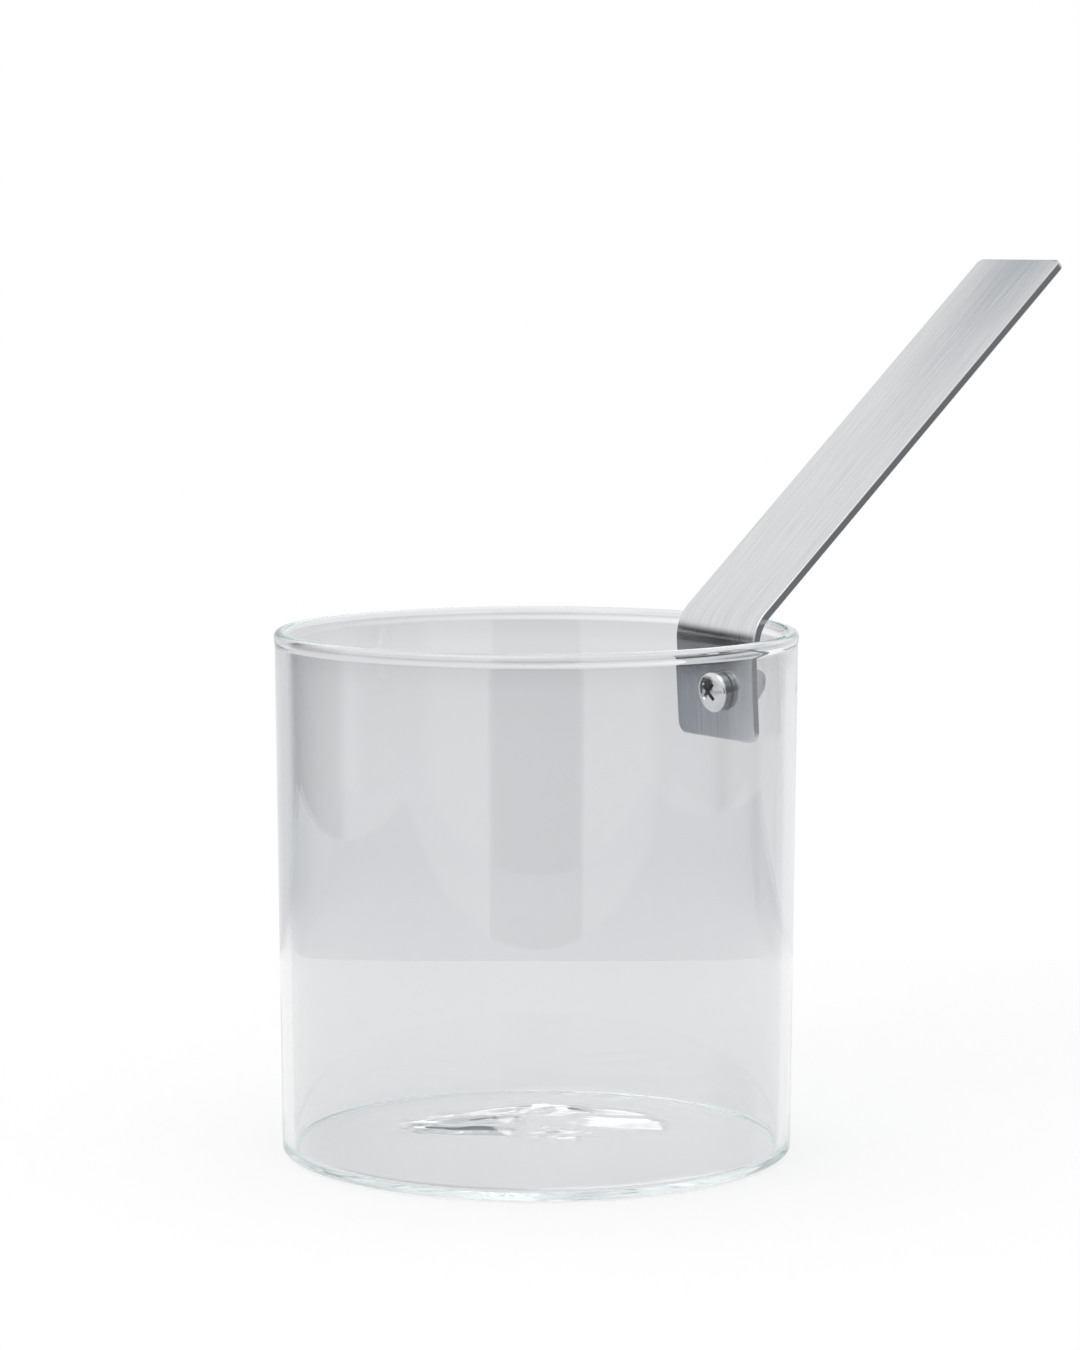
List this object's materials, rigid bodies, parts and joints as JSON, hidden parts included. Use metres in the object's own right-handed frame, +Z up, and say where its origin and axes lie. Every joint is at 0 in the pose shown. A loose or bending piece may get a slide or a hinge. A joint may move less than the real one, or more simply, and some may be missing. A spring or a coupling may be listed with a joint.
{
  "type": "glass saucepan",
  "caption": "Clear glass saucepan: straight-sided pot with a rounded rim, and a flat steel strap handle bent over the rim and clamped through the wall by a screw and cap nut.",
  "frame": {"origin": "middle of the pot's underside, on the pot's axis", "axes": "+Z up along the pot's axis, +X along the handle as seen from above, +Y to the left when looking out along the handle"},
  "size_m": [0.2067, 0.12, 0.2036],
  "materials": {
    "clear_glass": "clear, polished, faint grey-green tint in the edges",
    "brushed_strap": "stainless steel, fine brushing along the strap",
    "polished_steel": "polished stainless steel",
    "washer_steel": "plain stainless steel",
    "silicone": "translucent white silicone, matt"
  },
  "bodies": {
    "pan": {"glass_vessel": "clear_glass", "handle_strap": "brushed_strap", "inner_pad": "silicone", "wall_bush": "silicone", "outer_pad": "silicone", "flat_washer": "washer_steel"},
    "screw": {"handle_screw": "polished_steel"},
    "nut": {"cap_nut": "polished_steel"}
  },
  "joints": [
    {"name": "screw_turn", "type": "hinge", "parent": "pan", "child": "screw", "pos_m": [0.05195, -0.0023, 0.1031], "axis": [-0.9976, 0, -0.0698], "range_deg": [0, 1440]},
    {"name": "nut_travel", "type": "slide", "parent": "pan", "child": "nut", "axis": [0.9976, 0, 0.0698], "range_m": [0, 0.0032]}
  ],
  "couplings": [
    {"joint": "screw_turn", "follows": "nut_travel", "rad_per_m": 7854}
  ]
}
